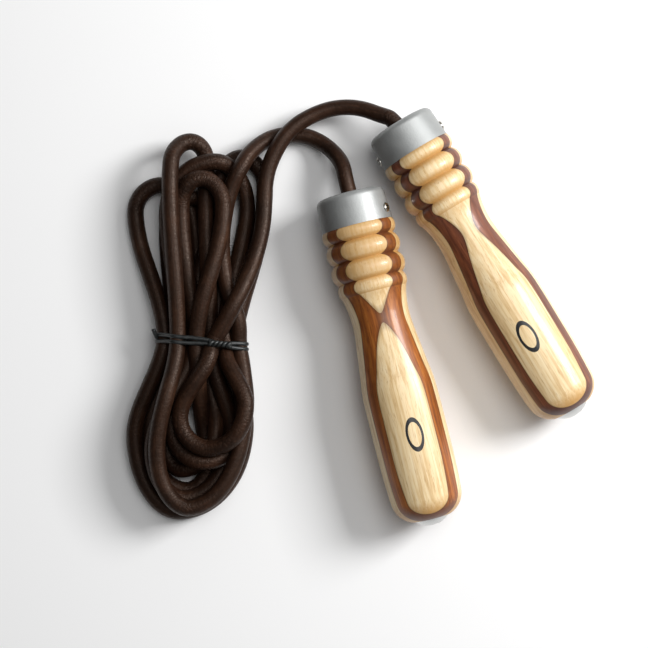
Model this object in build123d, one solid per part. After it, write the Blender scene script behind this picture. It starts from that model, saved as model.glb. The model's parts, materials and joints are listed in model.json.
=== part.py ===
from build123d import *
import math
import os

# Jump rope: a round leather rope, wound into a tied hank, with a turned handle
# on each end. The handles lie flat beside the hank and spin on ball bearings.
# Millimetres. +X right, +Y from the butts to the ferrules, +Z up from the floor.
# The origin is on the floor, under the centre of the two handles' box.

os.makedirs("parts", exist_ok=True)

# ---- Driving dimensions ------------------------------------------------------

# Rope
ROPE_D = 7.4
ROPE_HOLE_R = ROPE_D / 2 + 0.05

# Handle stations: distance from the ferrule's mouth along the handle's axis
FERRULE_RIM = 15.5
GROOVE_1 = 22.0
GROOVE_2 = 31.3
GROOVE_3 = 40.8
SHOULDER_END = 47.0
GRIP_START = 106.0
GRIP_END = 122.0
BUTT_ROUND = 145.0
BUTT_FACE = 154.8

# Handle radii
SPIGOT_R = 14.75
BEAD_R = 17.5
GROOVE_R = 15.3
WAIST_R = 13.6
GRIP_R = 17.5
BORE_R = 7.0

# Ferrule
FERRULE_TOP_R = 16.0
FERRULE_RIM_R = 16.8
FERRULE_INNER_R = 14.8
FERRULE_TOP = 1.5
FERRULE_EDGE = 3.0
FERRULE_HOLE_R = 4.6

# Ball bearing, 10 x 22 x 6
BEARING_BORE_R = 5.0
BEARING_OUTER_R = 11.0
BEARING_WIDTH = 6.0
INNER_SHOULDER_R = 7.2
OUTER_SHOULDER_R = 8.8
PITCH_R = 8.0
BALL_D = 3.175
BALL_COUNT = 9
GROOVE_PLAY = 0.0625
INNER_RACE_INSET = 0.4
CAGE_THICKNESS = 0.9
CAGE_WIDTH = 4.0

# Swivel sleeve, stop washer and crimp on the rope's end
SLEEVE_FLANGE_R = 6.4
SLEEVE_FLANGE = 1.2
SLEEVE_END = 11.0
WASHER = 1.2
WASHER_R = 6.4
CRIMP_R = 5.6
CRIMP = 8.0
ROPE_TAIL = 0.4

# Ferrule screws
SCREW_STATION = 10.8
SCREW_HEAD_R = 2.3
SCREW_HEAD = 1.3
SCREW_SHANK_R = 1.2
SCREW_TIP_R = 8.6
SCREW_CROSS_WIDTH = 0.7
SCREW_CROSS_DEPTH = 0.7

# Butt plug
PLUG_R = 8.3
PLUG_DOME = 3.5
PLUG_SHANK = 8.0
PLUG_SLOT_WIDTH = 1.2
PLUG_SLOT_DEPTH = 1.3

# Glued layers of the wood, as half distances from the handle's axis
CORE_HALF = 8.6

AXIS_HEIGHT = BEAD_R
BEARING_START = FERRULE_TOP
BEARING_END = BEARING_START + BEARING_WIDTH
BEARING_MID = BEARING_START + BEARING_WIDTH / 2
WASHER_START = SLEEVE_END
CRIMP_START = WASHER_START + WASHER
ROPE_END = CRIMP_START + CRIMP + ROPE_TAIL

# Each handle: mouth on the floor plan, heading from -Y toward +X, half width of
# the dark layers, the turn of the layers about the axis, and the screws' angle.
HANDLES = {
    "a": dict(mouth=(-49.28, 56.97), heading=14.25, dark_half=13.65, spin=0.0, screws=28.0),
    "b": dict(mouth=(-26.33, 89.64), heading=31.20, dark_half=13.10, spin=-4.0, screws=0.0),
}

# Free stretches of the rope, on to the hank. The first bend is in front of the
# mouth, on the handle's axis.
EXIT_A = 6.0
EXIT_B = 2.6
LEAD_A = [
    (-52.3, 71.6, 15.0), (-56.9, 78.1, 10.6), (-63.1, 83.3, 6.4), (-70.4, 86.2, 4.2), (-78.0, 86.6, 3.9),
    (-85.3, 85.2, 5.6), (-91.8, 81.3, 9.2), (-97.6, 75.5, 12.2), (-102.0, 68.2, 12.8),
]
LEAD_B = [
    (-34.6, 94.2, 16.8), (-42.4, 97.5, 15.4), (-50.2, 98.7, 14.2), (-58.2, 97.9, 13.2), (-66.6, 94.8, 12.8),
    (-74.4, 90.0, 12.9), (-80.4, 83.6, 12.8), (-84.7, 76.0, 12.4), (-87.7, 68.4, 11.2), (-89.0, 59.1, 10.0),
]

# Hank
HANK_HEIGHT = 22.0
HANK_EDGE = 3.0
TIE_CENTRE = (-118.5, -11.8)
TIE_TILT = -6.0
TIE_WIRE_R = 1.0
TIE_PITCH = 2.2
TIE_GROOVE = 5.0
TIE_DEPTH = 2.2
TIE_WIDTH = 43.0
TIE_CORNER = 6.0
TWIST_R = 1.6
TWIST_LENGTH = 12.0


# ---- Helpers -----------------------------------------------------------------

def disc(radius, start, end):
    """Solid cylinder on the handle's axis, between two stations."""
    low = (Align.CENTER, Align.CENTER, Align.MIN)
    return Pos(0, 0, start) * Cylinder(radius, end - start, align=low)


def tube(inner, outer, start, end):
    """Hollow cylinder on the handle's axis, between two stations."""
    return disc(outer, start, end) - disc(inner, start - 1, end + 1)


def revolved(edges):
    """Solid of revolution about the handle's axis, from an outline of (radius, station)."""
    outline = Plane.XZ * make_face(edges)
    return revolve(outline, Axis.Z)


def around(step_count, piece):
    """Copies of a piece, evenly spaced about the handle's axis."""
    return [Rot(0, 0, 360 * step / step_count) * piece for step in range(step_count)]


# ---- Handle pieces, in the handle's own frame --------------------------------
# Origin at the ferrule's mouth, z toward the butt, x to the right, y up.

def wood_blank():
    """The whole turned shape of the wood, before it is parted into layers."""
    beads = [
        ThreePointArc((16.6, FERRULE_RIM), (BEAD_R - 0.1, 18.3), (GROOVE_R, GROOVE_1)),
        ThreePointArc((GROOVE_R, GROOVE_1), (BEAD_R, (GROOVE_1 + GROOVE_2) / 2), (GROOVE_R, GROOVE_2)),
        ThreePointArc((GROOVE_R, GROOVE_2), (BEAD_R, (GROOVE_2 + GROOVE_3) / 2), (GROOVE_R, GROOVE_3)),
        ThreePointArc((GROOVE_R, GROOVE_3), (16.4, 43.6), (15.5, SHOULDER_END)),
    ]
    waist = Spline(
        (15.5, SHOULDER_END), (14.1, 53.0), (WAIST_R, 60.6), (14.5, 70.5), (16.4, 86.0), (GRIP_R, GRIP_START),
        tangents=[(-0.35, 1), (0, 1)],
    )
    grip = Line((GRIP_R, GRIP_START), (GRIP_R, GRIP_END))
    taper = ThreePointArc((GRIP_R, GRIP_END), (17.3, 134.0), (16.7, BUTT_ROUND))
    butt = ThreePointArc((16.7, BUTT_ROUND), (14.2, 151.3), (9.6, BUTT_FACE))
    ends = Polyline(
        (9.6, BUTT_FACE), (BORE_R, BUTT_FACE), (BORE_R, BEARING_END),
        (BEARING_OUTER_R, BEARING_END), (BEARING_OUTER_R, BEARING_START),
        (SPIGOT_R, BEARING_START), (SPIGOT_R, FERRULE_RIM), (16.6, FERRULE_RIM),
    )
    return revolved([*beads, waist, grip, taper, butt, ends])


def wood_layers(dark_half, spin, screw_angle):
    """The glued layers, each a slab of the turned shape, by name."""
    blank = wood_blank()
    for angle in (screw_angle, screw_angle + 180):
        blank -= Rot(0, 0, angle) * screw_axis(disc(SCREW_SHANK_R, SCREW_TIP_R, 20))
    reach = 2 * GRIP_R
    slabs = {
        "core_layer": (-CORE_HALF, CORE_HALF),
        "front_dark_layer": (CORE_HALF, dark_half),
        "back_dark_layer": (-dark_half, -CORE_HALF),
        "front_light_layer": (dark_half, reach),
        "back_light_layer": (-reach, -dark_half),
    }
    layers = {}
    for name, (low, high) in slabs.items():
        slab = Pos(0, (low + high) / 2, BUTT_FACE / 2) * Box(2 * reach, high - low, BUTT_FACE)
        pieces = (blank & (Rot(0, 0, spin) * slab)).solids().sort_by(Axis.Z)
        if len(pieces) == 1:
            layers[name] = pieces[0]
        else:
            layers[name.replace("layer", "neck_layer")] = pieces[0]
            layers[name.replace("layer", "grip_layer")] = pieces[1]
    return layers


def ferrule(screw_angle):
    """Pressed metal cap over the wood's spigot."""
    wall = Polyline(
        (FERRULE_HOLE_R, 0), (FERRULE_TOP_R, 0), (FERRULE_RIM_R, FERRULE_RIM),
        (FERRULE_INNER_R, FERRULE_RIM), (FERRULE_INNER_R, FERRULE_TOP),
        (FERRULE_HOLE_R, FERRULE_TOP), close=True,
    )
    cap = revolved(wall)
    rims = cap.edges().filter_by(GeomType.CIRCLE).group_by(Axis.Z)[0]
    cap = fillet(rims.sort_by(SortBy.RADIUS)[-1], FERRULE_EDGE)
    hole_rim = cap.edges().filter_by(GeomType.CIRCLE).group_by(Axis.Z)[0]
    cap = fillet(hole_rim.sort_by(SortBy.RADIUS)[0], 0.5)
    for angle in (screw_angle, screw_angle + 180):
        cap -= Rot(0, 0, angle) * screw_axis(disc(SCREW_SHANK_R, 12, 20))
        cap -= Rot(0, 0, angle) * screw_axis(disc(SCREW_HEAD_R, screw_seat(), 20))
    return cap


def screw_axis(piece):
    """Turns a piece made along z so that it lies along x at the screws' station."""
    return Pos(0, 0, SCREW_STATION) * Rot(0, 90, 0) * piece


def screw_seat():
    """Distance from the handle's axis to the flat under each screw's head."""
    return FERRULE_TOP_R + 0.2


def screws(screw_angle):
    """Two pan-head cross screws, opposite each other."""
    seat = screw_seat()
    head = disc(SCREW_HEAD_R, seat, seat + SCREW_HEAD)
    crown = head.edges().filter_by(GeomType.CIRCLE).sort_by(Axis.Z)[-1]
    head = fillet(crown, 0.9)
    shank = disc(SCREW_SHANK_R, SCREW_TIP_R + 2, seat)
    tip = Pos(0, 0, SCREW_TIP_R) * Cone(0.2, SCREW_SHANK_R, 2, align=(Align.CENTER, Align.CENTER, Align.MIN))
    screw = head + shank + tip
    slot = Box(2.6, SCREW_CROSS_WIDTH, 2 * SCREW_CROSS_DEPTH)
    cross = slot + Rot(0, 0, 90) * slot
    screw -= Pos(0, 0, seat + SCREW_HEAD) * Rot(0, 0, 45) * cross
    screw = screw_axis(screw)
    return Compound([Rot(0, 0, angle) * screw for angle in (screw_angle, screw_angle + 180)])


def race(inner, outer, inset):
    """One ring of the bearing, with its ball groove."""
    groove = Pos(0, 0, BEARING_MID) * Torus(PITCH_R, BALL_D / 2 + GROOVE_PLAY)
    return tube(inner, outer, BEARING_START + inset, BEARING_END - inset) - groove


def balls():
    """The bearing's balls."""
    return Compound(around(BALL_COUNT, Pos(PITCH_R, 0, BEARING_MID) * Sphere(BALL_D / 2)))


def cage():
    """The ring that keeps the balls apart."""
    half = CAGE_WIDTH / 2
    inner = PITCH_R - CAGE_THICKNESS / 2
    ring = tube(inner, inner + CAGE_THICKNESS, BEARING_MID - half, BEARING_MID + half)
    pocket = Pos(PITCH_R, 0, BEARING_MID) * Rot(0, 90, 0) * Cylinder(BALL_D / 2 + GROOVE_PLAY, 4)
    for hole in around(BALL_COUNT, pocket):
        ring -= hole
    return ring


def swivel_sleeve():
    """Flanged tube that carries the rope through the bearing."""
    start = BEARING_START + INNER_RACE_INSET
    flange_start = BEARING_END - INNER_RACE_INSET
    body = tube(ROPE_HOLE_R, BEARING_BORE_R, start, SLEEVE_END)
    return body + tube(ROPE_HOLE_R, SLEEVE_FLANGE_R, flange_start, flange_start + SLEEVE_FLANGE)


def butt_plug():
    """Domed plug with a shank in the bore and a slot across the dome."""
    dome = revolved([
        Polyline((0, BUTT_FACE + PLUG_DOME), (0, BUTT_FACE), (PLUG_R, BUTT_FACE)),
        ThreePointArc((PLUG_R, BUTT_FACE), (5.0, BUTT_FACE + 2.45), (0, BUTT_FACE + PLUG_DOME)),
    ])
    plug = dome + disc(BORE_R, BUTT_FACE - PLUG_SHANK, BUTT_FACE)
    slot = Box(9.0, PLUG_SLOT_WIDTH, 2 * PLUG_SLOT_DEPTH)
    return plug - Pos(0, 0, BUTT_FACE + PLUG_DOME) * Rot(0, 0, 35) * slot


def handle_pieces(spec):
    """Every piece of one handle, in the handle's own frame, by name."""
    pieces = wood_layers(spec["dark_half"], spec["spin"], spec["screws"])
    pieces["ferrule"] = ferrule(spec["screws"])
    pieces["ferrule_screws"] = screws(spec["screws"])
    pieces["bearing_outer_race"] = race(OUTER_SHOULDER_R, BEARING_OUTER_R, 0)
    pieces["bearing_inner_race"] = race(BEARING_BORE_R, INNER_SHOULDER_R, INNER_RACE_INSET)
    pieces["bearing_balls"] = balls()
    pieces["bearing_cage"] = cage()
    pieces["swivel_sleeve"] = swivel_sleeve()
    pieces["stop_washer"] = tube(ROPE_HOLE_R, WASHER_R, WASHER_START, CRIMP_START)
    pieces["rope_crimp"] = tube(ROPE_HOLE_R, CRIMP_R, CRIMP_START, CRIMP_START + CRIMP)
    pieces["butt_plug"] = butt_plug()
    return pieces


def handle_plane(spec):
    """Where a handle lies: z along its axis toward the butt, y up."""
    heading = math.radians(spec["heading"])
    along = (math.sin(heading), -math.cos(heading), 0)
    across = (math.cos(heading), math.sin(heading), 0)
    return Plane(origin=(*spec["mouth"], AXIS_HEIGHT), x_dir=across, z_dir=along)


# ---- Rope --------------------------------------------------------------------

def lead(name, spec, exit_length, points):
    """The rope from its crimped end, out of the mouth and along a route to the hank."""
    plane = handle_plane(spec)
    on_axis = [plane.from_local_coords(Vector(0, 0, station)) for station in (ROPE_END, -exit_length)]
    route = on_axis + [Vector(*point) for point in points]
    print(name, "first points", on_axis)
    radii = []
    for before, corner, after in zip(route, route[1:], route[2:]):
        turn = math.radians((corner - before).get_angle(after - corner))
        shorter = min((corner - before).length, (after - corner).length)
        radii.append(0.45 * shorter / math.tan(turn / 2))
    print(name, "radii", [round(radius, 1) for radius in radii])
    path = FilletPolyline(*route, radius=radii)
    section = Plane(origin=path @ 0, z_dir=path % 0) * Circle(ROPE_D / 2)
    rope = sweep(section, path)
    expected = math.pi * ROPE_D ** 2 / 4 * path.length
    print(name, "length", round(path.length, 1), "volume ratio", round(rope.volume / expected, 4))
    return rope


def tie_frame():
    """The tie's place: x across the hank, y along it, at floor level."""
    return Pos(*TIE_CENTRE, 0) * Rot(0, 0, TIE_TILT)


def hank():
    """Outer shape of the wound rope: two lobes that meet in a waist at the tie."""
    outline = Spline(
        (-97.0, -14.0), (-93.0, 11.0), (-85.4, 40.0), (-84.6, 62.0), (-91.0, 75.0),
        (-106.0, 79.2), (-116.0, 85.6), (-123.6, 88.0), (-131.4, 83.6), (-137.0, 68.6),
        (-148.0, 61.6), (-154.0, 49.0), (-148.2, 26.0), (-140.0, 5.0), (-140.6, -13.0),
        (-148.6, -32.0), (-154.0, -58.0), (-149.6, -80.0), (-134.0, -94.0), (-118.0, -93.0),
        (-103.4, -82.0), (-94.4, -64.0), (-93.6, -42.0),
        periodic=True,
    )
    body = extrude(make_face(outline), HANK_HEIGHT)
    body = fillet(body.edges().group_by(Axis.Z)[-1], HANK_EDGE)
    band = Pos(0, 0, HANK_HEIGHT / 2) * Box(80, TIE_GROOVE, HANK_HEIGHT + 2)
    core = RectangleRounded(TIE_WIDTH - 2 * TIE_DEPTH, HANK_HEIGHT - 2 * TIE_DEPTH, TIE_CORNER - TIE_DEPTH)
    kept = Pos(0, 0, HANK_HEIGHT / 2) * Rot(90, 0, 0) * extrude(core, TIE_GROOVE, both=True)
    return body - tie_frame() * (band - kept)


def hank_tie():
    """Two turns of coated wire round the hank's waist, and their twisted ends."""
    width = TIE_WIDTH - 2 * TIE_WIRE_R - 0.2
    height = HANK_HEIGHT - 2 * TIE_WIRE_R - 0.2
    loop = Pos(0, 0, HANK_HEIGHT / 2) * Rot(90, 0, 0) * RectangleRounded(width, height, TIE_CORNER - TIE_WIRE_R)
    path = loop.wire()
    wire = sweep(Plane(origin=path @ 0, z_dir=path % 0) * Circle(TIE_WIRE_R), path)
    turns = [Pos(0, side * TIE_PITCH / 2, 0) * wire for side in (-1, 1)]
    twist = Pos(9.5, 0, HANK_HEIGHT + TWIST_R) * Rot(0, 90, 20) * Cylinder(TWIST_R, TWIST_LENGTH)
    return tie_frame() * Compound([*turns, twist])


# ---- Write the parts ---------------------------------------------------------

nodes = {}
for side, spec in HANDLES.items():
    place = handle_plane(spec).location
    for name, piece in handle_pieces(spec).items():
        nodes[f"{name}_{side}"] = place * piece
nodes["rope_lead_a"] = lead("rope_lead_a", HANDLES["a"], EXIT_A, LEAD_A)
nodes["rope_lead_b"] = lead("rope_lead_b", HANDLES["b"], EXIT_B, LEAD_B)
nodes["rope_hank"] = hank()
nodes["hank_tie"] = hank_tie()

for name, shape in nodes.items():
    export_step(shape, f"parts/{name}.step")

on_rope = ("rope_lead_a", "rope_lead_b", "rope_hank", "hank_tie")
box = Compound([shape for name, shape in nodes.items() if name not in on_rope]).bounding_box()
print("handles' box", box.min, box.max, "nodes", len(nodes))
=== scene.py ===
import json
import math

import bpy
import numpy as np
from mathutils import Matrix, Vector


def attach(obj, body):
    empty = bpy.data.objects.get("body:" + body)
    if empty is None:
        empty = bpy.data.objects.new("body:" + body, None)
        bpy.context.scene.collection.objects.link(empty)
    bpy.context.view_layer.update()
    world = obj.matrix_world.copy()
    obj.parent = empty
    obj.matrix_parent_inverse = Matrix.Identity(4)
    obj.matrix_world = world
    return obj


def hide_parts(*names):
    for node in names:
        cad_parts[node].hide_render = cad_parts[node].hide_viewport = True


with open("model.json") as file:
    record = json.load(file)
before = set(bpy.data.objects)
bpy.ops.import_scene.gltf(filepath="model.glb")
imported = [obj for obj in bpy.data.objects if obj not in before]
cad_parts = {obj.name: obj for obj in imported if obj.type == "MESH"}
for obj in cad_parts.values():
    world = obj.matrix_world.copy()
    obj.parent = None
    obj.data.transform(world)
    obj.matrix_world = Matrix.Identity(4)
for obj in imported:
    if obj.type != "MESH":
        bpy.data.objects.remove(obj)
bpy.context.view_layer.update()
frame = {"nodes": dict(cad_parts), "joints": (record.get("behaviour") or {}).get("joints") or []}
nodes = frame["nodes"]
joints = {joint["name"]: joint for joint in frame["joints"]}

MM = 0.001
ROPE_D = 0.0074
AXIS_HEIGHT = joints["handle_a_spin"]["pos_m"][2]

# The tie's centre on the floor plan, and the hank's frame: u across it to the
# right, v along it toward the bottom loops, both in millimetres from the tie.
TIE_CENTRE = (-118.5, -11.8)


def hank_point(u, v, z):
    """A point of the hank, in metres in the row frame."""
    return Vector((TIE_CENTRE[0] + u, TIE_CENTRE[1] - v, z)) * MM


# ---- Camera --------------------------------------------------------------------

LENS = 100.0
SENSOR = 36.0
ELEVATION = 88.5
DISTANCE = 0.836
LOOK_AT = Vector((-0.06098, -0.00354, AXIS_HEIGHT))


def make_camera():
    """A long lens, nearly overhead, a little toward the butts."""
    data = bpy.data.cameras.new("camera")
    data.lens = LENS
    data.sensor_width = SENSOR
    camera = bpy.data.objects.new("camera", data)
    bpy.context.scene.collection.objects.link(camera)
    tilt = math.radians(ELEVATION)
    back = Vector((0, -math.cos(tilt), math.sin(tilt)))
    camera.location = LOOK_AT + back * DISTANCE
    camera.rotation_euler = (math.radians(90 - ELEVATION), 0, 0)
    bpy.context.scene.camera = camera


make_camera()

# ---- Rope: route -----------------------------------------------------------------

# Where the rope starts and ends, inside the handles, and its first bend in
# front of each mouth: distances along the handle's axis, in millimetres.
CRIMPED_END = 20.6
EXIT = {"a": 6.0, "b": 2.6}


def on_axis(side, station):
    """A point on a handle's axis: a distance from the mouth toward the butt, in millimetres."""
    joint = joints[f"handle_{side}_spin"]
    return Vector(joint["pos_m"]) + Vector(joint["axis"]) * station * MM


# Free stretches, from each handle toward the hank, in millimetres in the row frame:
# the points of the CAD's leads.
LEAD_A = [
    (-52.3, 71.6, 15.0), (-56.9, 78.1, 10.6), (-63.1, 83.3, 6.4), (-70.4, 86.2, 4.2),
    (-78.0, 86.6, 3.9), (-85.3, 85.2, 5.6), (-91.8, 81.3, 9.2), (-97.6, 75.5, 12.2),
    (-102.0, 68.2, 12.8),
]
LEAD_B = [
    (-34.6, 94.2, 16.8), (-42.4, 97.5, 15.4), (-50.2, 98.7, 14.2), (-58.2, 97.9, 13.2),
    (-66.6, 94.8, 12.8), (-74.4, 90.0, 12.9), (-80.4, 83.6, 12.8), (-84.7, 76.0, 12.4),
    (-87.7, 68.4, 11.2), (-89.0, 59.1, 10.0),
]

# The same strands inside the hank, from the free stretches to the tie.
STRAND_A = [
    (-106.2, 59.9, 12.2), (-109.2, 50.1, 11.2), (-111.0, 39.7, 10.8), (-110.8, 29.0, 11.0),
    (-109.0, 18.2, 11.2), (-105.8, 7.9, 11.6), (-102.2, -2.5, 12.2),
]
STRAND_B = [
    (-89.1, 48.7, 10.4), (-90.5, 37.8, 12.4), (-93.4, 26.8, 15.0), (-97.7, 15.5, 17.0),
    (-103.0, 4.8, 18.4), (-108.3, -5.0, 18.8),
]

# Slots for the strands at the tie: three layers from the floor up, each a row of
# places across the hank, left to right. The tie leans by TIE_SLOPE.
LAYER_PLACES = (
    (-12.8, -6.1, 0.7, 7.4, 14.2),
    (-16.2, -9.4, -2.6, 4.2, 11.0, 17.6),
    (-9.9, -2.2, 5.6),
)
LAYER_HEIGHTS = (6.0, 12.3, 18.6)
TIE_SLOPE = 0.10


def slot_point(place):
    """Centre of the strand in a slot of the tie, which is given as (layer, place in its row)."""
    layer, index = place
    u = LAYER_PLACES[layer][index]
    return hank_point(u, TIE_SLOPE * u, LAYER_HEIGHTS[layer])


# The rope's half turns, in winding order from handle B: bottom loops, whose v is
# above zero, and top loops take turns. Each is (left, end, right, slot): the loop's
# outermost points as (u, v, height), and the slot by which it comes back to the tie.
# It leaves the tie by the slot of the one before.
FIRST_SLOT = (2, 2)
HALF_TURNS = [
    ((-10.2, 34.0, 15.6), (4.9, 50.2, 15.2), (22.6, 30.0, 15.4), (1, 4)),
    ((-14.2, -60.0, 13.0), (8.4, -84.0, 15.5), (22.6, -62.0, 3.8), (1, 1)),
    ((-14.2, 40.2, 11.2), (2.4, 55.9, 11.2), (19.6, 37.3, 11.0), (0, 4)),
    ((4.5, -62.1, 9.0), (17.8, -87.9, 3.8), (29.2, -74.0, 3.8), (0, 1)),
    ((-19.3, 42.3, 3.8), (-9.6, 60.6, 3.8), (7.4, 40.4, 5.8), (0, 2)),
    ((-32.0, -61.1, 3.8), (-19.6, -74.4, 3.8), (-3.0, -52.3, 3.8), (1, 0)),
    ((-29.5, 44.2, 3.8), (-10.6, 80.6, 3.8), (19.6, 36.0, 3.8), (0, 3)),
    ((-16.9, -55.5, 3.8), (-4.9, -68.4, 3.8), (7.1, -55.5, 3.8), (0, 0)),
    ((-25.0, 46.1, 3.8), (-7.2, 70.5, 3.8), (4.2, 54.0, 3.8), (2, 1)),
    ((-11.2, -65.5, 14.0), (-0.6, -76.6, 18.6), (11.4, -62.0, 18.4), (1, 2)),
    ((-22.8, 50.4, 11.2), (-7.4, 73.8, 11.2), (14.4, 46.0, 8.0), (1, 3)),
    ((-13.1, -83.5, 19.0), (-4.9, -94.3, 14.4), (3.2, -83.5, 8.0), (2, 0)),
    ((-20.1, 51.5, 18.2), (-4.8, 77.9, 15.0), (20.4, 29.9, 11.4), (1, 5)),
]

# Control points of each leg and of each quarter of a loop.
LEG_POINTS = 3
ARC_STEPS = 3


def ease(share):
    """A share from 0 to 1 that starts and ends gently."""
    return share * share * (3 - 2 * share)


def leg(start, finish):
    """Points of a leg between the tie and a loop's side, which swings out smoothly."""
    points = []
    for step in range(1, LEG_POINTS + 1):
        along = step / (LEG_POINTS + 1)
        swing = ease(along)
        x = start.x + (finish.x - start.x) * swing
        y = start.y + (finish.y - start.y) * along
        z = start.z + (finish.z - start.z) * swing
        points.append(Vector((x, y, z)))
    return points


def quarter(side, end):
    """Points of a loop's quarter ellipse, from its side up to, but without, its end."""
    points = []
    for step in range(ARC_STEPS):
        angle = math.radians(90) * step / ARC_STEPS
        x = end.x + (side.x - end.x) * math.cos(angle)
        y = side.y + (end.y - side.y) * math.sin(angle)
        z = side.z + (end.z - side.z) * math.sin(angle) ** 2
        points.append(Vector((x, y, z)))
    return points


def half_turn(start, left, end, right, finish):
    """Points of one loop, from one slot of the tie to another, the far slot included."""
    downward = end.y < start.y
    first, last = (left, right) if downward else (right, left)
    far_side = quarter(last, end)
    return (
        leg(start, first) + quarter(first, end) + [end]
        + far_side[::-1] + leg(last, finish) + [finish]
    )


def rope_route():
    """The rope's control points from handle B to handle A, and which of them are held."""
    points = [on_axis("b", CRIMPED_END), on_axis("b", -EXIT["b"])]
    points += [Vector(point) * MM for point in LEAD_B + STRAND_B]
    held = [0, 1, len(points)]
    points.append(slot_point(FIRST_SLOT))
    for left, end, right, slot in HALF_TURNS:
        shape = [hank_point(*point) for point in (left, end, right)]
        points += half_turn(points[-1], *shape, slot_point(slot))
        held.append(len(points) - 1)
    points += [Vector(point) * MM for point in STRAND_A[::-1] + LEAD_A[::-1]]
    points += [on_axis("a", -EXIT["a"]), on_axis("a", CRIMPED_END)]
    held += [len(points) - 2, len(points) - 1]
    return np.array([tuple(point) for point in points]), held


# ---- Rope: settling --------------------------------------------------------------

# In metres: how near two strands' centrelines may come, how far apart along the rope
# two points are on different strands, the least upward part of a push, and the
# centreline's height on the floor. Strands push each other sideways less than up.
STRAND_GAP = 0.00775
SAME_STRAND = 3 * ROPE_D
LEAST_LIFT = 0.0005
RESTING_HEIGHT = 0.0041
SIDEWAYS_SHARE = 0.35

# Points of the smooth line that are compared, for each control point.
SAMPLES = 4

# What moves a point in each round of settling: the share of the push between
# strands that is followed, the pulls back to its first bend and to its first place
# on the floor plan, and how far it sinks, in metres.
ROUNDS = 110
PUSH_SHARE = 1.2
BEND_PULL = 0.08
PLAN_PULL = 0.02
SINK = 0.00004


def distances_along(line):
    """Each point's distance from the line's start, measured along it."""
    steps = np.linalg.norm(np.diff(line, axis=0), axis=1)
    return np.concatenate([[0], np.cumsum(steps)])


def sample_weights(count):
    """Weights that turn the control points of a quadratic B-spline into points along it."""
    weights = np.zeros(((count - 2) * SAMPLES, count))
    for span in range(1, count - 1):
        for part in range(SAMPLES):
            t = part / SAMPLES
            row = (span - 1) * SAMPLES + part
            weights[row, span - 1:span + 2] = ((1 - t) ** 2 / 2, 0.5 + t - t * t, t * t / 2)
    return weights


def bend(points):
    """From each point, the way to the middle of its two neighbours."""
    way = np.zeros_like(points)
    way[1:-1] = (points[2:] + points[:-2]) / 2 - points[1:-1]
    return way


def push_apart(line):
    """Moves for the line's points that lift and spread strands that lie in each other."""
    along = distances_along(line)
    apart = line[:, None] - line[None]
    distance = np.linalg.norm(apart, axis=2)
    other_strand = np.abs(along[:, None] - along[None]) > SAME_STRAND
    first, second = np.nonzero(other_strand & (distance < STRAND_GAP))
    way = apart[first, second]
    up = np.where(way[:, 2] != 0, np.sign(way[:, 2]), np.sign(first - second))
    way[:, 2] = up * np.maximum(np.abs(way[:, 2]), LEAST_LIFT)
    way[:, :2] *= SIDEWAYS_SHARE
    way /= np.linalg.norm(way, axis=1)[:, None]
    moves = np.zeros_like(line)
    counts = np.zeros(len(line))
    np.add.at(moves, first, way * (STRAND_GAP - distance[first, second])[:, None] / 2)
    np.add.at(counts, first, 1)
    return moves / np.maximum(counts, 1)[:, None]


def settle(points, held):
    """Lays the strands on and beside each other, so that they push apart and rest on the floor."""
    start = points.copy()
    weights = sample_weights(len(points))
    share = (weights / np.maximum(weights.sum(0), 1e-9)).T
    free = np.ones((len(points), 1))
    free[held] = 0
    for _ in range(ROUNDS):
        move = share @ push_apart(weights @ points) * PUSH_SHARE
        move += (bend(points) - bend(start)) * BEND_PULL
        move[:, :2] += (start - points)[:, :2] * PLAN_PULL
        move[:, 2] -= SINK
        points = points + move * free
        points[:, 2] = np.maximum(points[:, 2], RESTING_HEIGHT)
    return points


def smooth_line(points):
    """Points along the NURBS spline through a route's control points."""
    curve = bpy.data.curves.new("route", "CURVE")
    curve.dimensions = "3D"
    spline = curve.splines.new("NURBS")
    spline.points.add(len(points) - 1)
    for target, point in zip(spline.points, points):
        target.co = (*point, 1)
    spline.order_u = 3
    spline.use_endpoint_u = True
    spline.resolution_u = 8
    holder = bpy.data.objects.new("route", curve)
    mesh = bpy.data.meshes.new_from_object(holder)
    line = np.array([tuple(vertex.co) for vertex in mesh.vertices])
    bpy.data.objects.remove(holder)
    bpy.data.curves.remove(curve)
    bpy.data.meshes.remove(mesh)
    return line


# ---- Tubes -----------------------------------------------------------------------

def evenly_spaced(line, spacing):
    """The same line with its points an even distance apart."""
    along = distances_along(line)
    places = np.linspace(0, along[-1], max(2, round(along[-1] / spacing)) + 1)
    return np.stack([np.interp(places, along, line[:, axis]) for axis in range(3)], axis=1)


def frames_along(line):
    """Tangent and two cross directions at each point, turned as little as possible."""
    tangents = np.gradient(line, axis=0)
    tangents /= np.linalg.norm(tangents, axis=1)[:, None]
    across = np.zeros_like(line)
    across[0] = Vector(tangents[0]).orthogonal().normalized()
    for index in range(1, len(line)):
        turn = Vector(tangents[index - 1]).rotation_difference(Vector(tangents[index]))
        across[index] = turn @ Vector(across[index - 1])
    return tangents, across, np.cross(tangents, across)


def ring_directions(line, sides):
    """The angles of a ring's sides, and their directions in the ring round each point."""
    _, across, upward = frames_along(line)
    angles = np.arange(sides) * 2 * math.pi / sides
    cosines = np.cos(angles)[None, :, None]
    sines = np.sin(angles)[None, :, None]
    return angles, cosines * across[:, None] + sines * upward[:, None]


def smooth_mesh(name, vertices, faces):
    """A mesh with smooth shading."""
    mesh = bpy.data.meshes.new(name)
    mesh.from_pydata(vertices, [], faces)
    mesh.polygons.foreach_set("use_smooth", [True] * len(mesh.polygons))
    return mesh


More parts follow.
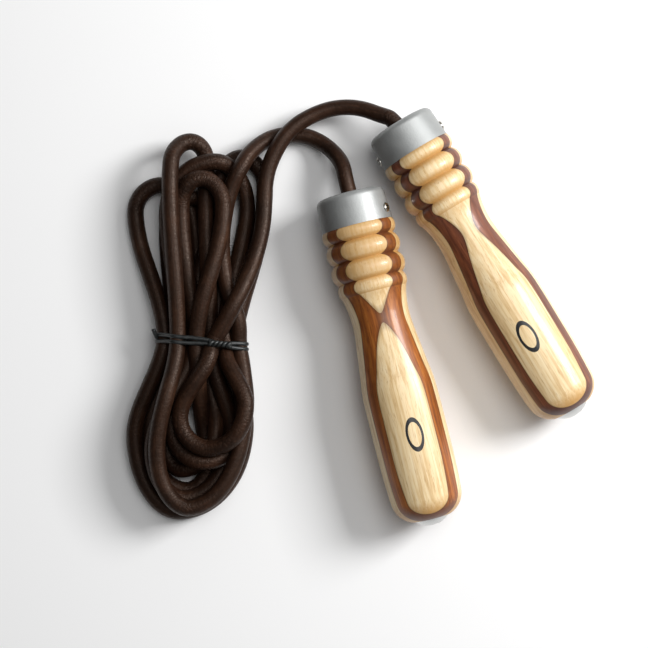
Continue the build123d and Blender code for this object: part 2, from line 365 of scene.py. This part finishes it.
def tube_mesh(name, line, radii, sides):
    """A closed tube round a line. Its attribute "along" places each point round and along it."""
    angles, ring = ring_directions(line, sides)
    vertices = line[:, None] + ring * radii[:, :, None]
    own = np.zeros_like(vertices)
    own[:, :, 0] = np.cos(angles) * ROPE_D / 2
    own[:, :, 1] = np.sin(angles) * ROPE_D / 2
    own[:, :, 2] = distances_along(line)[:, None]
    count = len(line)
    faces = []
    for row in range(count - 1):
        for side in range(sides):
            after = (side + 1) % sides
            faces.append((row * sides + side, row * sides + after,
                          (row + 1) * sides + after, (row + 1) * sides + side))
    faces.append(tuple(range(sides))[::-1])
    faces.append(tuple((count - 1) * sides + side for side in range(sides)))
    mesh = smooth_mesh(name, vertices.reshape(-1, 3).tolist(), faces)
    mesh.attributes.new("along", "FLOAT_VECTOR", "POINT").data.foreach_set("vector", own.ravel())
    mesh.update()
    return mesh


def add_piece(name, mesh, material):
    """A new object of the model, with its material."""
    piece = bpy.data.objects.new(name, mesh)
    bpy.context.scene.collection.objects.link(piece)
    mesh.materials.append(material)
    return piece


# ---- Materials -------------------------------------------------------------------

class Shader:
    """A new material, with short calls that add and link its nodes."""

    def __init__(self, name, **settings):
        self.material = bpy.data.materials.new(name)
        self.material.use_nodes = True
        self.tree = self.material.node_tree
        self.surface = self.tree.nodes["Principled BSDF"]
        for socket, value in settings.items():
            self.set(self.surface, {socket.replace("_", " "): value})

    def set(self, node, inputs):
        """Sets sockets to values, or links them to other nodes' outputs."""
        for key, value in inputs.items():
            if isinstance(value, bpy.types.NodeSocket):
                self.tree.links.new(value, node.inputs[key])
            else:
                node.inputs[key].default_value = value

    def add(self, kind, inputs=None, output=0, **settings):
        """Adds a node and returns one of its outputs."""
        node = self.tree.nodes.new("ShaderNode" + kind)
        for key, value in settings.items():
            setattr(node, key, value)
        self.set(node, inputs or {})
        return node.outputs[output]

    def math(self, operation, first, second=0.0):
        """The result of one operation on two numbers."""
        return self.add("Math", {0: first, 1: second}, operation=operation)

    def times(self, first, second):
        """The product of two numbers."""
        return self.math("MULTIPLY", first, second)

    def noise(self, vector, scale, detail=3.0, roughness=0.5):
        """Soft noise, with about scale lumps in a metre."""
        inputs = {"Vector": vector, "Scale": scale, "Detail": detail, "Roughness": roughness}
        return self.add("TexNoise", inputs)

    def drawn_out(self, vector, amount):
        """A space in which patterns are longer along z where amount is below 1."""
        return self.add("Mapping", {"Vector": vector, "Scale": (1, 1, amount)})

    def ramp(self, factor, *stops):
        """A colour ramp with stops of (place, colour)."""
        node = self.tree.nodes.new("ShaderNodeValToRGB")
        elements = node.color_ramp.elements
        while len(elements) < len(stops):
            elements.new(0.5)
        for element, (place, colour) in zip(elements, stops):
            element.position = place
            element.color = (*colour, 1)
        self.tree.links.new(factor, node.inputs[0])
        return node.outputs[0]

    def scalar_ramp(self, factor, low, high, to_low=0.0, to_high=1.0):
        """A number that goes from to_low to to_high while the factor goes from low to high."""
        inputs = {"Value": factor, "From Min": low, "From Max": high}
        return self.add("MapRange", inputs | {"To Min": to_low, "To Max": to_high})

    def mix(self, factor, first, second):
        """The first colour where the factor is 0, and the second where it is 1."""
        node = self.tree.nodes.new("ShaderNodeMix")
        node.data_type = "RGBA"
        for key, value in ((0, factor), (6, first), (7, second)):
            if isinstance(value, tuple):
                value = (*value, 1)
            self.set(node, {key: value})
        return node.outputs[2]

    def bump(self, height, distance, strength):
        """Shading normals for a height from 0 to 1, which stands for a distance in metres."""
        return self.add("Bump", {"Height": height, "Distance": distance, "Strength": strength})

    def finish(self, **links):
        """Links the surface shader's sockets and returns the material."""
        for socket, value in links.items():
            self.set(self.surface, {socket.replace("_", " "): value})
        return self.material


# The leather's colours from its darkest blotches to its lightest, its worn grain with
# partly painted highlight specks, its streaks, the tint of its gloss, and the depth of its relief
# in metres.
LEATHER_TONES = ((0.012, 0.0048, 0.0026), (0.027, 0.0108, 0.0055), (0.048, 0.0205, 0.0105))
LEATHER_WORN_AND_GLINT = (0.120, 0.058, 0.032)
LEATHER_STREAK = (0.010, 0.0055, 0.0035)
LEATHER_GLOSS = (1.0, 0.78, 0.66, 1)
LEATHER_DEPTH = 0.00020


def leather():
    """Dark brown oiled leather: lengthwise streaks, fine grain with lighter worn specks that are
    partly painted highlights, most on bends, and cracks where it bends.
    """
    shader = Shader("rope_leather", Specular_IOR_Level=0.28, Specular_Tint=LEATHER_GLOSS)
    own = shader.add("Attribute", attribute_name="along", output=1)
    bent = shader.add("Attribute", attribute_name="bend", output=2)
    blotches = shader.noise(own, 55, 3, 0.6)
    streaks = shader.noise(shader.drawn_out(own, 0.10), 1300, 3, 0.6)
    grain = shader.noise(own, 720, 4, 0.75)
    cells = {"Vector": shader.drawn_out(own, 2.2), "Scale": 330}
    cracks = shader.add("TexVoronoi", cells, feature="DISTANCE_TO_EDGE")
    low, middle, high = LEATHER_TONES
    colour = shader.ramp(blotches, (0.32, low), (0.55, middle), (0.74, high))
    # Lighter specks of worn grain, more of them on bends: partly real wear, partly painted
    # highlight glints.
    wear_and_glint_share = shader.scalar_ramp(bent, 0, 1, 0.25, 0.45)
    worn_and_glint_specks = shader.times(shader.scalar_ramp(grain, 0.52, 0.78), wear_and_glint_share)
    colour = shader.mix(worn_and_glint_specks, colour, LEATHER_WORN_AND_GLINT)
    streaked = shader.scalar_ramp(streaks, 0.38, 0.62, 0.0, 0.55)
    colour = shader.mix(streaked, colour, LEATHER_STREAK)
    cracking = shader.scalar_ramp(bent, 0, 1, 0.25, 0.75)
    height = shader.times(shader.scalar_ramp(cracks, 0.0, 0.14), cracking)
    height = shader.math("ADD", height, shader.times(grain, 0.55))
    height = shader.math("ADD", height, shader.times(streaks, 0.65))
    rough = shader.scalar_ramp(grain, 0.35, 0.65, 0.32, 0.54)
    normal = shader.bump(height, LEATHER_DEPTH, 0.8)
    return shader.finish(Base_Color=colour, Roughness=rough, Normal=normal)


def tie_plastic():
    """Black plastic coat of the tie's wire, slightly scuffed."""
    shader = Shader("tie_black", Specular_IOR_Level=0.5)
    place = shader.add("TexCoord", output=3)
    scuffs = shader.noise(place, 600, 3, 0.6)
    colour = shader.ramp(scuffs, (0.4, (0.008, 0.009, 0.009)), (0.75, (0.030, 0.034, 0.034)))
    rough = shader.scalar_ramp(scuffs, 0.3, 0.7, 0.30, 0.50)
    normal = shader.bump(shader.noise(place, 1500, 2), 0.00005, 0.5)
    return shader.finish(Base_Color=colour, Roughness=rough, Normal=normal)


def metal(name, colour, roughness, grain_scale=900, depth=0.00003, mottle=0.12, metallic=1.0):
    """A metal finish with a fine grain and slightly uneven colour and gloss."""
    shader = Shader(name, Metallic=metallic)
    place = shader.add("TexCoord", output=3)
    grain = shader.noise(place, grain_scale, 3, 0.6)
    patches = shader.noise(place, grain_scale / 14, 3, 0.55)
    dull = tuple(channel * (1 - mottle) for channel in colour)
    tone = shader.mix(shader.scalar_ramp(patches, 0.3, 0.7), dull, colour)
    rough = shader.scalar_ramp(patches, 0.3, 0.7, roughness * 0.85, roughness * 1.15)
    normal = shader.bump(grain, depth, 0.6)
    return shader.finish(Base_Color=tone, Roughness=rough, Normal=normal)


# The handles' glued layers: their turn about the axis, in degrees, the half distances
# of their joints from the axis, and the width of a glue line.
LAYER_TURN = {"a": 0.0, "b": -4.0}
CORE_HALF = 8.6 * MM
DARK_HALF = {"a": 13.65 * MM, "b": 13.10 * MM}
GLUE_WIDTH = 0.35 * MM


def handle_space(shader, side):
    """A point's place in its handle: x along the layers, y through them, z toward the butt."""
    joint = joints[f"handle_{side}_spin"]
    along = Vector(joint["axis"])
    turn = Matrix.Rotation(math.radians(LAYER_TURN[side]), 3, along)
    across = turn @ Vector((-along.y, along.x, 0))
    upward = along.cross(across)
    rotation = Matrix((across, upward, along)).transposed().to_euler()
    place = shader.add("TexCoord", output=3)
    inputs = {"Vector": place, "Location": joint["pos_m"], "Rotation": rotation}
    return shader.add("Mapping", inputs, vector_type="TEXTURE")


def cut_across(shader, side):
    """How far a surface faces the handle's ends, where the wood shows its end grain and where shade
    is painted into the grooves.
    """
    normal = shader.add("NewGeometry", output=1)
    along = joints[f"handle_{side}_spin"]["axis"]
    facing = shader.add("VectorMath", {0: normal, 1: along}, output=1, operation="DOT_PRODUCT")
    return shader.math("ABSOLUTE", facing)


def glue_lines(shader, side, depth):
    """1 on the thin joints between the glued layers."""
    from_middle = shader.math("ABSOLUTE", depth)
    lines = []
    for half in (CORE_HALF, DARK_HALF[side]):
        away = shader.math("ABSOLUTE", shader.math("SUBTRACT", from_middle, half))
        lines.append(shader.scalar_ramp(away, 0, GLUE_WIDTH, 1, 0))
    return shader.math("MAXIMUM", *lines)


# The plain oval ring printed on each grip's upper side, in metres: its place along
# and across the handle, its size, and how high above the axis its side starts. Its
# ink covers the squared radii from RING_MIDDLE - RING_SPREAD to their sum.
MARK_STATION = 0.1150
MARK_ACROSS = {"a": 0.0013, "b": -0.0030}
MARK_HALF_LENGTH = 0.0080
MARK_HALF_WIDTH = 0.0040
MARK_LOWEST = 0.010
RING_MIDDLE = 0.76
RING_SPREAD = 0.24
INK = (0.010, 0.010, 0.011)


def printed_mark(shader, side, across, height, along):
    """1 on the oval ring."""
    squares = []
    for place, centre, half in (
        (across, MARK_ACROSS[side], MARK_HALF_WIDTH),
        (along, MARK_STATION, MARK_HALF_LENGTH),
    ):
        offset = shader.math("DIVIDE", shader.math("SUBTRACT", place, centre), half)
        squares.append(shader.times(offset, offset))
    compared = {0: shader.math("ADD", *squares), 1: RING_MIDDLE, 2: RING_SPREAD}
    ring = shader.add("Math", compared, operation="COMPARE")
    return shader.times(ring, shader.math("GREATER_THAN", height, MARK_LOWEST))


# Each handle's neck is tinted like end grain by this much, fading out between two
# distances from the mouth, in metres.
NECK_TINT = {"a": 0.60, "b": 0.20}
NECK_FROM = 0.036
NECK_TO = 0.052

# The woods' colours, among them the end-grain colour that also paints shade into the grooves, and
# the scale of their growth rings.
LIGHT_TONES = ((0.60, 0.39, 0.17), (0.80, 0.60, 0.33), (0.88, 0.72, 0.46))
LIGHT_END_GRAIN_AND_SHADE = (0.53, 0.275, 0.070)
LIGHT_PORES = (0.40, 0.20, 0.06)
LIGHT_FIGURE = 95
DARK_TONES = {
    "a": ((0.165, 0.043, 0.008), (0.330, 0.096, 0.015), (0.490, 0.170, 0.030)),
    "b": ((0.085, 0.024, 0.011), (0.180, 0.052, 0.022), (0.290, 0.092, 0.038)),
}
DARK_END_GRAIN_AND_SHADE = {"a": (0.130, 0.036, 0.010), "b": (0.080, 0.024, 0.012)}
DARK_PORES = (0.045, 0.014, 0.007)
DARK_FIGURE = 70

# Depth of the wood's relief, in metres.
WOOD_DEPTH = 0.00005


def wood(name, side, tones, end_grain_and_shade_tone, pore_tone, figure, marked=False):
    """Lacquered wood: growth rings along the handle, pores, end grain with painted shade in the
    grooves, glue lines.
    """
    shader = Shader(name, Specular_IOR_Level=0.45, Coat_Weight=0.25, Coat_Roughness=0.12)
    place = handle_space(shader, side)
    across, depth, along = shader.add("SeparateXYZ", {"Vector": place}).node.outputs
    slow = shader.drawn_out(place, 0.055)
    waves = {"Vector": slow, "Scale": figure, "Distortion": 14.0}
    waves |= {"Detail": 4.0, "Detail Scale": 2.2, "Detail Roughness": 0.65}
    rings = shader.add("TexWave", waves, bands_direction="X")
    fibres = shader.noise(slow, 900, 4, 0.65)
    clouds = shader.noise(shader.drawn_out(place, 0.25), 90, 3, 0.55)
    pores = shader.noise(shader.drawn_out(place, 0.09), 1900, 2, 0.5)
    streaks = shader.noise(shader.drawn_out(place, 0.022), 520, 3, 0.55)
    grain = shader.math("ADD", shader.times(rings, 0.16), shader.times(fibres, 0.50))
    grain = shader.math("ADD", grain, shader.times(clouds, 0.42))
    low, middle, high = tones
    colour = shader.ramp(grain, (0.34, low), (0.54, middle), (0.74, high))
    colour = shader.mix(shader.scalar_ramp(streaks, 0.57, 0.68, 0.0, 0.75), colour, low)
    pore = shader.scalar_ramp(pores, 0.60, 0.72)
    colour = shader.mix(shader.times(pore, 0.55), colour, pore_tone)
    # Faces toward the handle's ends take the end-grain colour: real end grain, and painted shade in
    # the grooves.
    end_grain_and_groove_shade = shader.scalar_ramp(cut_across(shader, side), 0.10, 0.62, 0.0, 0.9)
    neck = shader.scalar_ramp(along, NECK_FROM, NECK_TO, NECK_TINT[side], 0.0)
    speckle = shader.noise(place, 1500, 3, 0.6)
    end_grain_and_shade_colour = shader.mix(shader.scalar_ramp(speckle, 0.35, 0.65), end_grain_and_shade_tone, pore_tone)
    end_grain_and_shade_colour = shader.mix(0.65, end_grain_and_shade_colour, end_grain_and_shade_tone)
    colour = shader.mix(shader.math("MAXIMUM", end_grain_and_groove_shade, neck), colour, end_grain_and_shade_colour)
    glue_tone = tuple(channel * 0.35 for channel in pore_tone)
    colour = shader.mix(shader.times(glue_lines(shader, side, depth), 0.6), colour, glue_tone)
    if marked:
        colour = shader.mix(printed_mark(shader, side, across, depth, along), colour, INK)
    height = shader.math("SUBTRACT", shader.times(fibres, 0.6), shader.times(pore, 0.8))
    rough = shader.scalar_ramp(clouds, 0.3, 0.7, 0.34, 0.48)
    normal = shader.bump(height, WOOD_DEPTH, 0.5)
    return shader.finish(Base_Color=colour, Roughness=rough, Normal=normal)


def cad_finishes():
    """Materials of the metal nodes, by the start of the node's name."""
    return {
        "ferrule_screws": metal("screw_nickel", (0.62, 0.60, 0.55), 0.24),
        "ferrule": metal("ferrule_paint", (0.39, 0.40, 0.395), 0.50, grain_scale=1300,
                         depth=0.00014, mottle=0.16, metallic=0.55),
        "bearing_cage": metal("cage_brass", (0.78, 0.56, 0.24), 0.30),
        "bearing": metal("bearing_steel", (0.62, 0.63, 0.65), 0.18, grain_scale=1500,
                         depth=0.00001),
        "swivel_sleeve": metal("sleeve_steel", (0.50, 0.51, 0.53), 0.28),
        "stop_washer": metal("washer_nickel", (0.62, 0.60, 0.55), 0.26),
        "rope_crimp": metal("crimp_aluminium", (0.74, 0.75, 0.76), 0.34),
        "butt_plug": metal("plug_satin", (0.62, 0.62, 0.61), 0.30, grain_scale=1000,
                           depth=0.00005),
    }


def finish_cad_nodes():
    """Gives every carried-over node its finish."""
    light, dark = {}, {}
    for side in "ab":
        light[side] = wood(f"light_wood_{side}", side, LIGHT_TONES, LIGHT_END_GRAIN_AND_SHADE, LIGHT_PORES,
                           LIGHT_FIGURE, marked=True)
        dark[side] = wood(f"dark_wood_{side}", side, DARK_TONES[side], DARK_END_GRAIN_AND_SHADE[side], DARK_PORES,
                          DARK_FIGURE)
    finishes = cad_finishes()
    for name, node in nodes.items():
        side = name[-1]
        matches = [key for key in finishes if name.startswith(key)]
        if "dark" in name:
            material = dark[side]
        elif "light" in name or name.startswith("core_layer"):
            material = light[side]
        elif matches:
            material = finishes[max(matches, key=len)]
        else:
            continue
        for slot in node.material_slots:
            slot.material = material


finish_cad_nodes()

# ---- Rope and tie ----------------------------------------------------------------

RING_SPACING = 0.0007
RING_SIDES = 20

# The rope is slim near the handles and full in the hank: the slim stretch in front
# of each end, and the stretch over which it thickens.
LEAD_RADIUS = 0.00372
HANK_RADIUS = 0.00390
SLIM_STRETCH = 0.05
THICKENING_STRETCH = 0.10

# Its thickness wavers along it: (share of the radius, metres per radian, phase).
WAVERS = ((0.008, 0.013, 0.0), (0.006, 0.0047, 1.3))

# Creases on the inner side of bends: height, spacing, and the bend (1 / radius)
# from which they start and over which they grow to their full height.
CREASE = 0.00009
CREASE_SPACING = 0.0021
CREASE_BEND = 28
CREASE_BEND_RANGE = 55
BEND_WINDOW = 9


def curvature(line):
    """The line's bend at each point: a vector toward its centre, 1 / radius long."""
    tangents, _, _ = frames_along(line)
    steps = np.linalg.norm(np.gradient(line, axis=0), axis=1)
    turn = np.gradient(tangents, axis=0) / steps[:, None]
    kernel = np.ones(BEND_WINDOW) / BEND_WINDOW
    return np.stack([np.convolve(turn[:, axis], kernel, "same") for axis in range(3)], axis=1)


def crease_waves(place, angles):
    """Waves from -1 to 1 along the rope, uneven and slanted, for the sides of each ring."""
    phase = place / CREASE_SPACING * 2 * math.pi
    uneven = 0.9 * np.sin(phase / 3.7)
    slant = 1.5 * np.sin(2 * angles)
    return np.sin(phase[:, None] + uneven[:, None] + slant[None])


def rope_radii(line):
    """The rope's radius at each side of each ring, and how bent it is at each ring, 0 to 1."""
    angles, ring = ring_directions(line, RING_SIDES)
    place = np.arange(len(line)) * RING_SPACING
    from_end = np.minimum(place, place[-1] - place)
    full = ease(np.clip((from_end - SLIM_STRETCH) / THICKENING_STRETCH, 0, 1))
    radius = LEAD_RADIUS + (HANK_RADIUS - LEAD_RADIUS) * full
    wavers = [share * np.sin(place / pace + phase) for share, pace, phase in WAVERS]
    radius = radius * (1 + sum(wavers))
    bends = curvature(line)
    amount = np.linalg.norm(bends, axis=1)
    bent = np.clip((amount - CREASE_BEND) / CREASE_BEND_RANGE, 0, 1)
    to_centre = bends / np.maximum(amount, 1e-6)[:, None]
    inner = np.clip((ring * to_centre[:, None]).sum(2), 0, 1)
    radii = radius[:, None] + CREASE * bent[:, None] * inner * crease_waves(place, angles)
    return radii, bent


def make_rope():
    """The whole rope, as one settled leather tube."""
    points, held = rope_route()
    smooth = smooth_line(settle(points, held))
    line = evenly_spaced(smooth, RING_SPACING)
    radii, bent = rope_radii(line)
    mesh = tube_mesh("rope", line, radii, RING_SIDES)
    bend_values = np.repeat(bent, RING_SIDES)
    mesh.attributes.new("bend", "FLOAT", "POINT").data.foreach_set("value", bend_values)
    rope = add_piece("rope", mesh, leather())
    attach(rope, "rope")
    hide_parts("rope_lead_a", "rope_lead_b", "rope_hank")
    return rope, smooth, float(distances_along(smooth)[-1])


# The tie's wire, in metres: its radius, how deep it sinks into the leather, the
# lowest height of its centre, and how far from the tie's middle strands are sought.
TIE_WIRE = 0.0010
TIE_SINK = 0.0003
TIE_LOWEST = 0.00105
TIE_REACH = 0.03

# Its mesh: rings round the hank, sides of the wire, and sides of each strand's
# circle, which the wraps go round.
TIE_RINGS = 96
WIRE_SIDES = 12
STRAND_SIDES = 24

# The two wraps, in millimetres: their places along the hank, and how each wanders,
# as (reach, waves round the hank, shift from one wrap to the next).
WRAP_OFFSETS = (-1.15, 1.15)
WRAP_WAVES = ((0.35, 2, 1.9), (0.2, 5, 1.0))

# Where the wraps' ends are twisted together, on top of the hank, in millimetres:
# middle, half length, turn in degrees, height of its axis over the wraps, radius of
# the twist, its place along the hank, and its wire's share of the tie's radius.
TWIST_U = 9.5
TWIST_HALF = 5.0
TWIST_TURN = 900
TWIST_LIFT = 1.3
TWIST_RADIUS = 0.75
TWIST_V = 0.2
TWIST_WIRE = 0.85
TWIST_STEPS = 40

# The wraps are drawn together under the twist: how far from its middle, by how
# much, how far they rise, and the height from which a wrap counts as on top.
PINCH_REACH = 4.0
PINCH_SHARE = 0.75
PINCH_LIFT = 0.25
PINCH_FROM = 12.0

# The wire's other end, on the left, as (u, v, height).
STUB = [(-20.0, -1.6, 13.4), (-21.2, -3.4, 15.6), (-21.8, -5.8, 16.4)]
STUB_SPACING = 0.0005


def hull(points):
    """The convex outline of points on a plane, anticlockwise."""
    ordered = sorted(set(points))

    def chain(sequence):
        out = []
        for point in sequence:
            while len(out) > 1:
                (ax, ay), (bx, by) = out[-2], out[-1]
                if (bx - ax) * (point[1] - ay) - (by - ay) * (point[0] - ax) > 0:
                    break
                out.pop()
            out.append(point)
        return out[:-1]

    return chain(ordered) + chain(ordered[::-1])


def strands_at_tie(line):
    """Where the rope passes the tie: (u, z) in metres, across the hank and up."""
    centre = hank_point(0, 0, 0)
    offsets = line - np.array(tuple(centre))
    v = -offsets[:, 1] - TIE_SLOPE * offsets[:, 0]
    near = np.abs(offsets[:, 0]) < TIE_REACH
    crossing = np.nonzero((v[:-1] * v[1:] <= 0) & near[:-1])[0]
    return [(float(offsets[index, 0]), float(line[index, 2])) for index in crossing]


def wrap_outline(line):
    """The tie's line round the strands, evenly spaced, as (u, z) in metres."""
    reach = HANK_RADIUS - TIE_SINK
    circle = [2 * math.pi * side / STRAND_SIDES for side in range(STRAND_SIDES)]
    around = []
    for u, z in strands_at_tie(line):
        for angle in circle:
            height = max(z + reach * math.sin(angle), TIE_LOWEST)
            around.append((u + reach * math.cos(angle), height))
    corners = np.array(hull(around))
    closed = np.vstack([corners, corners[:1]])
    along = distances_along(closed)
    places = np.linspace(0, along[-1], TIE_RINGS, endpoint=False)
    return np.stack([np.interp(places, along, closed[:, axis]) for axis in range(2)], axis=1)


def ring_mesh(name, line, radius, sides):
    """A closed ring of wire along a closed line."""
    count = len(line)
    vertices, faces = [], []
    for index in range(count):
        tangent = Vector(line[(index + 1) % count] - line[index - 1]).normalized()
        outward = tangent.cross(Vector((0, 1, 0))).normalized()
        sideways = tangent.cross(outward)
        for side in range(sides):
            angle = 2 * math.pi * side / sides
            offset = outward * math.cos(angle) + sideways * math.sin(angle)
            vertices.append(Vector(line[index]) + offset * radius)
            after = (side + 1) % sides
            row, following = index * sides, (index + 1) % count * sides
            faces.append((row + side, following + side, following + after, row + after))
    return smooth_mesh(name, [tuple(vertex) for vertex in vertices], faces)


def wrap_line(outline, wrap):
    """The line of one wrap round the hank, from the outline in metres."""
    points = []
    for index, (u, z) in enumerate(outline / MM):
        angle = 2 * math.pi * index / TIE_RINGS
        drift = WRAP_OFFSETS[wrap]
        for reach, waves, shift in WRAP_WAVES:
            drift += reach * math.sin(waves * angle + shift * wrap)
        pinch = math.exp(-((u - TWIST_U) / PINCH_REACH) ** 2) if z > PINCH_FROM else 0.0
        v = TIE_SLOPE * u + drift * (1 - PINCH_SHARE * pinch)
        points.append(hank_point(u, v, z + PINCH_LIFT * pinch))
    return np.array([tuple(point) for point in points])


def twist_line(outline, strand):
    """The line of one of the two twisted ends, on top of the wraps."""
    top = max(z for u, z in outline / MM if abs(u - TWIST_U) < TWIST_HALF)
    points = []
    for step in range(TWIST_STEPS + 1):
        share = step / TWIST_STEPS
        angle = math.radians(TWIST_TURN) * share + math.pi * strand
        u = TWIST_U - TWIST_HALF + 2 * TWIST_HALF * share
        v = TIE_SLOPE * u + TWIST_V + TWIST_RADIUS * math.cos(angle)
        points.append(hank_point(u, v, top + TWIST_LIFT + TWIST_RADIUS * math.sin(angle)))
    return np.array([tuple(point) for point in points])


def wire_mesh(name, line, radius):
    """A length of the tie's wire with two ends."""
    return tube_mesh(name, line, np.full((len(line), WIRE_SIDES), radius), WIRE_SIDES)


def make_tie(line):
    """A plastic-coated wire wound twice round the hank's waist, its ends twisted together."""
    outline = wrap_outline(line)
    meshes = []
    for wrap in range(len(WRAP_OFFSETS)):
        meshes.append(ring_mesh(f"tie_wrap_{wrap}", wrap_line(outline, wrap), TIE_WIRE, WIRE_SIDES))
    for strand in range(2):
        twist = twist_line(outline, strand)
        meshes.append(wire_mesh(f"tie_twist_{strand}", twist, TIE_WIRE * TWIST_WIRE))
    stub = smooth_line([hank_point(*point) for point in STUB])
    meshes.append(wire_mesh("tie_stub", evenly_spaced(stub, STUB_SPACING), TIE_WIRE))
    material = tie_plastic()
    pieces = []
    for mesh in meshes:
        piece = add_piece(mesh.name, mesh, material)
        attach(piece, "rope")
        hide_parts("hank_tie")
        pieces.append(piece)
    return pieces


rope, rope_line, rope_length = make_rope()
tie_pieces = make_tie(rope_line)


# ---- Floor and lights --------------------------------------------------------------

FLOOR_HALF = 3.0
FLOOR_DROP = 0.0001
FLOOR_COLOUR = (0.92, 0.92, 0.92, 1)

# The surround's strength on its dim and its bright side, and the sideways part of a
# unit direction at which it reaches them.
SURROUND_DIM = 0.04
SURROUND_BRIGHT = 0.42
SURROUND_SPREAD = 0.9


def make_floor():
    """A plain pale floor."""
    mesh = bpy.data.meshes.new("floor")
    half = FLOOR_HALF
    corners = [(-half, -half, 0), (half, -half, 0), (half, half, 0), (-half, half, 0)]
    mesh.from_pydata(corners, [], [(0, 1, 2, 3)])
    shader = Shader("floor", Base_Color=FLOOR_COLOUR, Roughness=0.9)
    floor = add_piece("floor", mesh, shader.material)
    floor.location.z = -FLOOR_DROP


def area_light(name, place, target, size, power):
    """A square softbox at a place, turned to a target."""
    data = bpy.data.lights.new(name, "AREA")
    data.shape = "SQUARE"
    data.size = size
    data.energy = power
    light = bpy.data.objects.new(name, data)
    bpy.context.scene.collection.objects.link(light)
    light.location = place
    light.rotation_euler = (Vector(target) - Vector(place)).to_track_quat("-Z", "Y").to_euler()


def make_studio():
    """A soft surround, dimmer on the left, so that the metal shows its form."""
    world = bpy.data.worlds.new("studio")
    bpy.context.scene.world = world
    world.use_nodes = True
    tree = world.node_tree
    direction = tree.nodes.new("ShaderNodeTexCoord")
    parts = tree.nodes.new("ShaderNodeSeparateXYZ")
    blend = tree.nodes.new("ShaderNodeMapRange")
    tree.links.new(direction.outputs["Generated"], parts.inputs["Vector"])
    tree.links.new(parts.outputs["X"], blend.inputs["Value"])
    blend.inputs["From Min"].default_value = -SURROUND_SPREAD
    blend.inputs["From Max"].default_value = SURROUND_SPREAD
    blend.inputs["To Min"].default_value = SURROUND_DIM
    blend.inputs["To Max"].default_value = SURROUND_BRIGHT
    background = tree.nodes["Background"]
    background.inputs["Color"].default_value = (1, 1, 1, 1)
    tree.links.new(blend.outputs["Result"], background.inputs["Strength"])


make_floor()
area_light("key", place=(0.72, 0.34, 0.66), target=(-0.03, 0, 0), size=0.40, power=12.3)
area_light("top", place=(0.20, 0.30, 1.30), target=(-0.05, 0, 0), size=0.70, power=5.0)
make_studio()
bpy.context.scene.view_settings.view_transform = "Standard"
